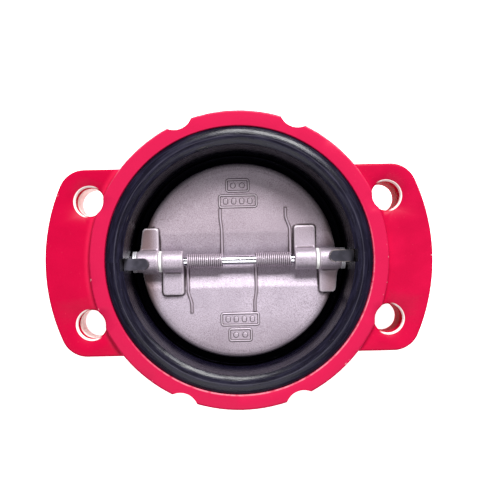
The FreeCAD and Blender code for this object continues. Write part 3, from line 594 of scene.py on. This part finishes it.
# %% Iron casting
casting = bmesh.new()
casting.from_mesh(frame["nodes"]["valve_body"].data)
bmesh.ops.remove_doubles(casting, verts=casting.verts, dist=0.001 * mm)
iron_casting = write_part("iron_casting", casting, "red_epoxy", ROOT, "valve_body", merge=False)
print("iron casting:", len(iron_casting.data.polygons), "triangles")

# %% [markdown]
# ## The rubber liner
# The liner is one moulding: a fat bead that seals against the flange, the chamber wall, the ledge
# and lip that the plates close on, and a coat over the bar across the inlet. All but the bar is
# turned, so one outline spun round the axis makes it. The bead is a single far corner of that
# outline, rounded with a wide vertex bevel. The bar is joined on with a boolean. Two more cut the
# grooves that hold the retainer blocks: a wide pocket for the foot below, and above it a narrower
# mouth with rounded corners for the nose.

# %% Rubber liner
bead_corner = (93.05, 79.00, 8.5)
POCKET_NEAR, POCKET_FAR, POCKET_SIDE = 77.0, 88.4, 6.45

liner = bmesh.new()
sweep_outline(liner, [
    (73.0, 3.0, 1.0), (76.0, 0.0, 1.5), (92.6, 0.02, 5), (99.6, 4.2, 0.5), (99.6, 5.0, 0),
    (77.0, 5.0, 0), (77.0, 20.0, 0), (91.0, 20.0, 0), (91.0, 71.0, 0), (99.6, 71.0, 0),
    (99.6, 73.35, 0.3), bead_corner, (86.2, 73.85, 0.3), (86.3, 70.8, 1.5), (84.2, 52.0, 6),
    (84.2, 24.5, 1.2), (77.9, 24.5, 0.4), (76.6, 25.0, 0.35), (73.8, 25.0, 0.4),
    (73.0, 24.2, 0.4),
], Z_AXIS, Vector(), 240)
rubber_liner = write_part("rubber_lining", liner, "black_rubber")

bar_coat = bmesh.new()
coat = box(bar_coat, (-75.0, -9.0, 4.0), (75.0, 9.0, 25.0))
round_edges(bar_coat, coat, 3.0, lambda a, b: abs(a.y - b.y) < 0.1 and max(a.z, b.z) < 5
            and abs(a.x - b.x) > 1, 6)
carve(rubber_liner, write_part("bar_coat", bar_coat, "black_rubber"), "UNION")



def pocket(shape, side, width_back, bottom, top):
    """A box that cuts a groove, on the side of +X or -X; gives its points."""
    low_x, high_x = sorted((side * POCKET_NEAR, side * POCKET_FAR))
    low_y, high_y = sorted((side * -width_back, side * POCKET_SIDE))
    return box(shape, (low_x, low_y, bottom), (high_x, high_y, top))


grooves, mouths = bmesh.new(), bmesh.new()
for side in (1, -1):
    pocket(grooves, side, 5.05, 35.4, 51.6)
    mouth_walls = pocket(mouths, side, 3.05, 49.8, 80.0)
    round_edges(mouths, mouth_walls, 0.4, lambda a, b: abs(a.z - b.z) > 1, 3)
carve(rubber_liner, write_part("grooves", grooves, "black_rubber"))
carve(rubber_liner, write_part("mouths", mouths, "black_rubber"))
finish_part(rubber_liner, "black_rubber", ROOT, "rubber_liner")
print("rubber liner:", len(rubber_liner.data.polygons), "faces")

# %% [markdown]
# ## The half-moon plates
# Each plate is a cast half disc with a rounded back, a slope down to the hinge line, two tabs and
# two knuckles. In a casting these run into one another, which separate blocks never do. So the
# simple shapes are made first, each with its own bevels, and are then melted together by a voxel
# remesh into one skin with soft inner corners. The second plate is the first, turned half a turn
# about the valve's axis.

# %% Plate blank
PLATE_FRONT, PLATE_BACK, PLATE_HEEL = 25.1, 35.1, 30.1
SPLIT, SLOPE_START, PLATE_RADIUS = 0.4, 21.5, 77.0

blank = bmesh.new()
disc = bmesh.ops.create_circle(blank, cap_ends=True, radius=PLATE_RADIUS * mm, segments=220,
                               matrix=Matrix.Translation((0, 0, PLATE_FRONT * mm)))["verts"]
raised = bmesh.ops.extrude_face_region(blank, geom=blank.faces[:])["geom"]
raised = [item for item in raised if isinstance(item, bmesh.types.BMVert)]
bmesh.ops.translate(blank, verts=raised, vec=(0, 0, (PLATE_BACK - PLATE_FRONT) * mm))
round_edges(blank, raised, 4.2, lambda a, b: True, 8)
slope = Vector((0, SLOPE_START - SPLIT, PLATE_BACK - PLATE_HEEL)).normalized()
for spot, facing in (((0, SPLIT * mm, 0), Vector((0, -1, 0))),
                     ((0, SLOPE_START * mm, PLATE_BACK * mm), slope.cross(-X_AXIS))):
    bmesh.ops.bisect_plane(blank, geom=blank.verts[:] + blank.edges[:] + blank.faces[:],
                           plane_co=spot, plane_no=facing, clear_outer=True)
    bmesh.ops.holes_fill(blank, edges=[e for e in blank.edges if e.is_boundary])
bmesh.ops.recalc_face_normals(blank, faces=blank.faces)
print("half disc:", len(blank.faces), "faces")

# %% [markdown]
# A knuckle is a tube on the shaft's axis, so its outline is spun round X. Its tab is a flat slab
# with two rounded corners. A foot fills the corner between the knuckle and the plate, and a small
# wedge the one above the tab, low enough to pass under the retainer block when the plate is open.
# The tab of the outer knuckle narrows towards its end, which a move of two points does.

# %% Knuckles and tabs
KNUCKLE_RADIUS, BORE_RADIUS, TAB_REACH, TAB_TOP = 8.35, 3.95, 26.5, 39.0
TAB_ROOT, WEDGE_REACH, WEDGE_HEIGHT = 4.6, 10.2, 40.7
KNUCKLES = ((43.5, 60.2, 43.5, 43.5), (-79.4, -62.7, -78.0, -75.2))

for near, far, root_near, tip in KNUCKLES:
    tube = bmesh.new()
    sweep_outline(tube, [(BORE_RADIUS, near, 0), (KNUCKLE_RADIUS, near, 0.8),
                         (KNUCKLE_RADIUS, far, 0.8), (BORE_RADIUS, far, 0)], X_AXIS, HINGE, 72)
    bmesh.ops.recalc_face_normals(tube, faces=tube.faces)
    tube_mesh = bpy.data.meshes.new("tube")
    tube.to_mesh(tube_mesh)
    tube.free()
    blank.from_mesh(tube_mesh)
    bpy.data.meshes.remove(tube_mesh)
    tab = box(blank, (root_near, TAB_ROOT, 27.0), (far, TAB_REACH, TAB_TOP))
    for v in tab:
        if v.co.y > 20 * mm and v.co.x < (root_near + 1) * mm:
            v.co.x = tip * mm
    round_edges(blank, tab, 2.6, lambda a, b: abs(a.z - b.z) > 1 and a.y > 20, 5)
    box(blank, (root_near, SPLIT, 27.0), (far, 8.0, 36.2))
    for v in box(blank, (root_near, TAB_ROOT, 37.0), (far, WEDGE_REACH, WEDGE_HEIGHT)):
        if v.co.y > 10 * mm and v.co.z > 40 * mm:
            v.co.y = KNUCKLE_RADIUS * mm - 0.05 * mm
plate_blank = write_part("plate_blank", blank, "cast_stainless", merge=False)
melt(plate_blank, 0.62 * mm)
print("melted plate:", len(plate_blank.data.polygons), "faces")

# %% [markdown]
# The castings carry raised frames on their backs. Real ones hold foundry marks; here they hold
# plain pips and bars. The skin around them is cut finer, and then a height for each point is worked
# out from its distance to the strokes: full height inside a stroke, a smooth fall beside it. The
# same pass adds the faint step that runs along the rim and a slight unevenness all over.

# %% Relief on the plates
def frame_distance(x, y, half_width, half_height, corner):
    """Distance in mm from a rounded rectangle's outline, negative inside."""
    across, up = abs(x) - half_width + corner, abs(y) - half_height + corner
    outside = math.hypot(max(across, 0), max(up, 0))
    return outside + min(max(across, up), 0) - corner


def stroke(distance, half_width, fall=0.45):
    """1 on a stroke's middle, 0 beside it, and a smooth fall between."""
    t = min(1, max(0, (distance - half_width + fall) / fall))
    return 1 - t * t * (3 - 2 * t)


SMALL_FRAME, WIDE_FRAME, RELIEF_HEIGHT = (59.0, 8.6, 4.6), (46.6, 14.6, 4.6), 0.65


def relief(x, y):
    """How high the skin stands at a point of the upper plate's back, in mm."""
    height = 0.0
    for middle, half_width, half_height in (SMALL_FRAME, WIDE_FRAME):
        if abs(x) < half_width + 3 and abs(y - middle) < half_height + 3:
            height = max(height, stroke(abs(frame_distance(x, y - middle, half_width,
                                                           half_height, 1.6)), 0.75))
    for across in (-3.6, 3.6):
        height = max(height, stroke(math.hypot(x - across, y - SMALL_FRAME[0]), 2.0))
    for across in (-9.6, -3.2, 3.2, 9.6):
        bar = frame_distance(x - across, y - WIDE_FRAME[0], 1.2, 1.7, 0.9)
        height = max(height, stroke(max(bar, 0), 0.55))
    return height


skin = bmesh.new()
skin.from_mesh(plate_blank.data)
fine_zone = [f for f in skin.faces
             if f.normal.z > 0.9 and abs(f.calc_center_median().x) < 17.5 * mm
             and 40 * mm < f.calc_center_median().y < 66 * mm]
bmesh.ops.subdivide_edges(skin, edges=list({e for f in fine_zone for e in f.edges}), cuts=1,
                          use_grid_fill=True)
for _ in range(4):
    bmesh.ops.smooth_vert(skin, verts=skin.verts, factor=0.5, use_axis_x=True, use_axis_y=True,
                          use_axis_z=True)
skin.normal_update()
for v in skin.verts:
    x, y, z = v.co / mm
    if v.normal.z > 0.8 and z < PLATE_BACK + 0.5 and y > 1:
        rim_step = 0.16 * min(1, max(0, (math.hypot(x, y) - 71.0) / 1.2))
        wave = 0.14 * noise.noise(v.co / (14 * mm))
        v.co.z += (RELIEF_HEIGHT * relief(x, y) - rim_step + wave) * mm
print("relief frames at y =", SMALL_FRAME[0], "and", WIDE_FRAME[0], "mm")
skin.to_mesh(plate_blank.data)
skin.free()
mark_edges(plate_blank, 6, 0.35 * mm)

# %% [markdown]
# One blank makes both plates: a copy of its mesh, turned by 180 degrees in the mesh itself so that
# the object stays unturned. Each plate rides on its own swinging body.

# %% Upper and lower plate
lower_mesh = plate_blank.data.copy()
lower_mesh.transform(Matrix.Rotation(math.pi, 4, "Z"))
lower_plate = bpy.data.objects.new("lower_half_moon_plate", lower_mesh)
scene.collection.objects.link(lower_plate)
plate_blank.name = "upper_half_moon_plate"
finish_part(plate_blank, "cast_stainless", UPPER, "upper_plate")
finish_part(lower_plate, "cast_stainless", LOWER, "lower_plate")
print("each plate:", len(lower_mesh.polygons), "faces")

# %% [markdown]
# ## Shaft, washers and spacers
# These are turned parts, so each one is an outline spun round the shaft's axis. The outlines'
# corners get tiny bevels, because it is the bevel that catches the light on a machined edge.

# %% Shaft and washers
shaft = bmesh.new()
sweep_outline(shaft, [(0, -87.6, 0), (2.95, -87.6, 0.2), (3.75, -86.8, 0.3), (3.75, 86.8, 0.3),
                      (2.95, 87.6, 0.2), (0, 87.6, 0)], X_AXIS, HINGE, 72, closed=False)
write_part("hinge_rod", shaft, "polished_steel", ROOT, "hinge_shaft")

rings = [("spacer_washer", 60.4, 62.5, 8.3, 0.3, "white_plastic"),
         ("inner_end_washer", 79.6, 81.1, 8.35, 0.3, "washer_steel"),
         ("outer_end_washer", 81.2, 82.7, 8.35, 0.3, "washer_steel")]
for side, way in (("left", -1), ("right", 1)):
    for name, near, far, outside, rounding, slot in rings:
        ring = bmesh.new()
        sweep_outline(ring, [(3.9, way * near, 0.2), (outside, way * near, rounding),
                             (outside, way * far, rounding), (3.9, way * far, 0.2)],
                      X_AXIS, HINGE, 72)
        write_part(f"{side}_{name.replace('washer', 'ring')}", ring, slot, ROOT,
                   f"{side}_{name}")
print("rings on the shaft:", 2 * len(rings))

# %% [markdown]
# ## Torsion springs
# A spring is close-wound wire with a leg on each plate. When a plate opens it carries its leg with
# it and the coil winds up. Each spring is made as two halves that meet in the middle of the coil.
# Each half is a small circle of wire, spun round the shaft with a step along it, whose end is then
# extruded into a doglegged leg.

# %% Torsion springs
STEPS_PER_TURN = 30


def half_spring(name, spring, middle, way, leg_offsets):
    """Half a spring from its middle outwards. way is 1 towards +X and +Y, -1 towards -X and -Y."""
    wire = bmesh.new()
    start = HINGE + Vector((middle * mm, 0, -COIL_RADIUS * mm))
    facing = Matrix.Rotation(math.pi / 2, 4, "X")
    ring = bmesh.ops.create_circle(wire, cap_ends=False, radius=WIRE_RADIUS * mm, segments=10,
                                   matrix=Matrix.Translation(start) @ facing)
    steps = STEPS_PER_TURN * HALF_TURNS
    end = bmesh.ops.spin(wire, geom=ring["verts"] + wire.edges[:], cent=HINGE, axis=X_AXIS,
                         dvec=(way * PITCH / STEPS_PER_TURN * mm, 0, 0),
                         angle=way * HALF_TURNS * math.tau, steps=steps)["geom_last"]
    for offset in leg_offsets:
        edges = [item for item in end if isinstance(item, bmesh.types.BMEdge)]
        end = bmesh.ops.extrude_edge_only(wire, edges=edges)["geom"]
        moved = [item for item in end if isinstance(item, bmesh.types.BMVert)]
        bmesh.ops.translate(wire, verts=moved, vec=Vector(offset) * mm)
    bmesh.ops.holes_fill(wire, edges=[e for e in wire.edges if e.is_boundary])
    half = write_part(name, wire, "spring_steel", stands_for=spring)
    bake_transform(half)
    return half


def leg(way, dogleg):
    """Steps of a leg: out along the plate, a dogleg to one side, and a short straight end."""
    return [(0, way * 1.0, 0), (0, way * 22.0, -0.18), (0.1 * dogleg, way * 2.0, 0),
            (0.8 * dogleg, way * 7.5, -0.10), (0.1 * dogleg, way * 1.5, 0),
            (0, way * 5.6, -0.07), (0, way * 0.9, 0)]


for name, middle, dogleg_low, dogleg_high in SPRINGS:
    half_spring(f"{name}_lower_half", name, middle, -1, leg(-1, dogleg_low))
    upper = half_spring(f"{name}_upper_half", name, middle, 1, leg(1, dogleg_high))
print("each half spring:", len(upper.data.polygons), "faces")

# %% [markdown]
# ## Retainer blocks
# A block slides into a groove of the liner, and its round-tipped nose reaches over the hinge to
# keep the shaft in. It is two moulded slabs, so boxes with one bevelled tip are melted together,
# and the edge attribute then tells the finish where hands and tools have rubbed it grey.

# %% Retainer blocks
for side, way, body_name in (("right", 1, "right_retainer_block"),
                             ("left", -1, "left_retainer_block")):
    block = bmesh.new()
    nose = box(block, (69.3, -2.95, 49.9), (88.2, 6.35, 55.95))
    round_edges(block, nose, 4.6, lambda a, b: abs(a.z - b.z) > 1 and a.x < 75, 12)
    box(block, (83.6, -4.9, 35.55), (88.2, 6.35, 51.5))
    if way < 0:
        bmesh.ops.rotate(block, verts=block.verts, cent=(0, 0, 0),
                         matrix=Matrix.Rotation(math.pi, 3, "Z"))
    piece = write_part(f"{side}_block", block, "black_plastic", merge=False)
    melt(piece, 0.26 * mm)
    soft = bmesh.new()
    soft.from_mesh(piece.data)
    for _ in range(3):
        bmesh.ops.smooth_vert(soft, verts=soft.verts, factor=0.5, use_axis_x=True,
                              use_axis_y=True, use_axis_z=True)
    soft.to_mesh(piece.data)
    soft.free()
    mark_edges(piece, 8, 0.22 * mm)
    finish_part(piece, "black_plastic", ROOT, body_name)
print("each block:", len(piece.data.polygons), "faces")

# %% [markdown]
# ## Camera, floor and light
# A product like this is shot from straight above on a white table. The camera stands on the
# valve's own axis, and a small shift moves the picture without tilting it. One large soft lamp
# from the top of the picture draws the long highlights on the rubber and the shaft, and a weaker
# one opens the shadows below. The table glows a little, as a light table does, and a round white
# backdrop, which only the camera sees, hides the horizon in low views.

# %% Camera
IMAGE_SIZE = 500
camera_data = bpy.data.cameras.new("camera")
camera_data.lens, camera_data.sensor_width = 58.4, 36
camera_data.shift_x, camera_data.shift_y = 11 / IMAGE_SIZE, 10.1 / IMAGE_SIZE
camera = bpy.data.objects.new("camera", camera_data)
camera.location = (0, 0, cad_high.z + 600 * mm)
camera.rotation_euler = (0, 0, math.radians(-1.25))
scene.collection.objects.link(camera)
scene.camera = camera
print("camera height:", round(camera.location.z / mm), "mm")

# %% Floor and light
scene.view_settings.view_transform = "Standard"
world = bpy.data.worlds.new("studio")
scene.world = world
world.use_nodes = True
sky = world.node_tree.nodes["Background"].inputs
sky["Color"].default_value, sky["Strength"].default_value = (1, 1, 1, 1), 0.16


def soft_lamp(name, where, size, power):
    lamp = bpy.data.lights.new(name, "AREA")
    lamp.shape, lamp.energy = "RECTANGLE", power
    lamp.size, lamp.size_y = size
    holder = bpy.data.objects.new(name, lamp)
    holder.location = where
    holder.rotation_euler = (HINGE - Vector(where)).to_track_quat("-Z", "Y").to_euler()
    scene.collection.objects.link(holder)


soft_lamp("key_lamp", (0.34, 1.32, 1.45), (1.1, 0.7), 62)
soft_lamp("fill_lamp", (-0.10, -0.75, 1.20), (1.0, 1.2), 8)

bpy.ops.mesh.primitive_plane_add(size=80, location=(0, 0, 0))
floor = bpy.context.object
floor.name = "floor"
table_white = new_finish("table_white", Base_Color=(0.9, 0.9, 0.9, 1), Roughness=0.8,
                         Emission_Color=(1, 1, 1, 1), Emission_Strength=0.9)
floor.data.materials.append(table_white)

BACKDROP_RADIUS, BACKDROP_DEPTH = 8, 12

wall = bmesh.new()
bmesh.ops.create_cone(wall, cap_ends=False, radius1=BACKDROP_RADIUS, radius2=BACKDROP_RADIUS,
                      depth=BACKDROP_DEPTH, segments=64)
wall_mesh = bpy.data.meshes.new("backdrop")
wall.to_mesh(wall_mesh)
wall.free()
backdrop = bpy.data.objects.new("backdrop", wall_mesh)
scene.collection.objects.link(backdrop)
backdrop_white = new_finish("backdrop_white", Base_Color=(0, 0, 0, 1), Roughness=1.0,
                            Emission_Color=(1, 1, 1, 1), Emission_Strength=1.0)
backdrop_white.cycles.emission_sampling = "NONE"
wall_mesh.materials.append(backdrop_white)
backdrop.visible_diffuse = backdrop.visible_glossy = backdrop.visible_shadow = False
